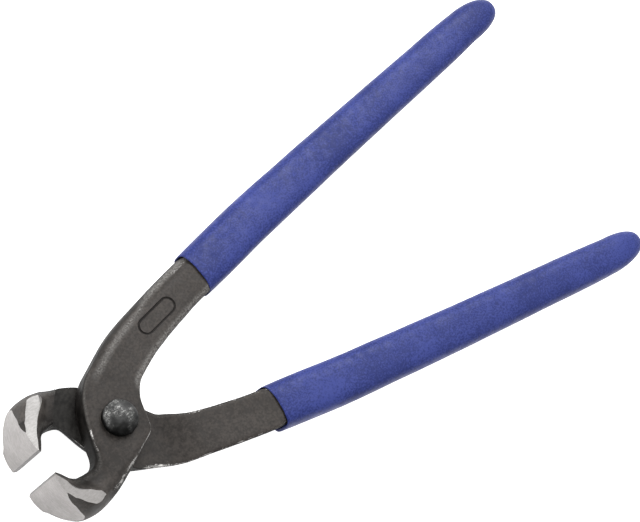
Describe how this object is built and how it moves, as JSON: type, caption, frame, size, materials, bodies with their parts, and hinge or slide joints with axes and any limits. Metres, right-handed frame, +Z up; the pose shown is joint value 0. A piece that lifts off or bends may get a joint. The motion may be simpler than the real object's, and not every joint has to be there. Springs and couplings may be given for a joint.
{
  "type": "end-cutting pincers",
  "caption": "End-cutting tower pincers: forged steel levers crossing at a riveted lap joint, wide ground cutting jaws, long handles in vinyl sleeves.",
  "frame": {"origin": "middle of the bounding box, at the level of the surface the tool lies on", "axes": "+X from the jaws to the handle ends along the tool, +Y towards the front lever's handle, +Z up along the rivet axis"},
  "size_m": [0.2158, 0.0962, 0.022],
  "materials": {
    "forged_front": "black forge scale, jaw faces ground bright",
    "forged_rear": "black forge scale, jaw faces ground bright",
    "rivet_steel": "darkened, worn bright in patches",
    "vinyl_front": "satin blue vinyl",
    "vinyl_rear": "satin blue vinyl"
  },
  "bodies": {
    "rear_half": {"rear_lever": "forged_rear", "rear_grip": "vinyl_rear", "pivot_rivet": "rivet_steel"},
    "front_half": {"front_lever": "forged_front", "front_grip": "vinyl_front"}
  },
  "joints": [
    {"name": "jaw_pivot", "type": "hinge", "parent": "rear_half", "child": "front_half", "pos_m": [-0.0822, -0.0007, 0.011], "axis": [0, 0, 1], "range_deg": [-14.5, 20]}
  ]
}
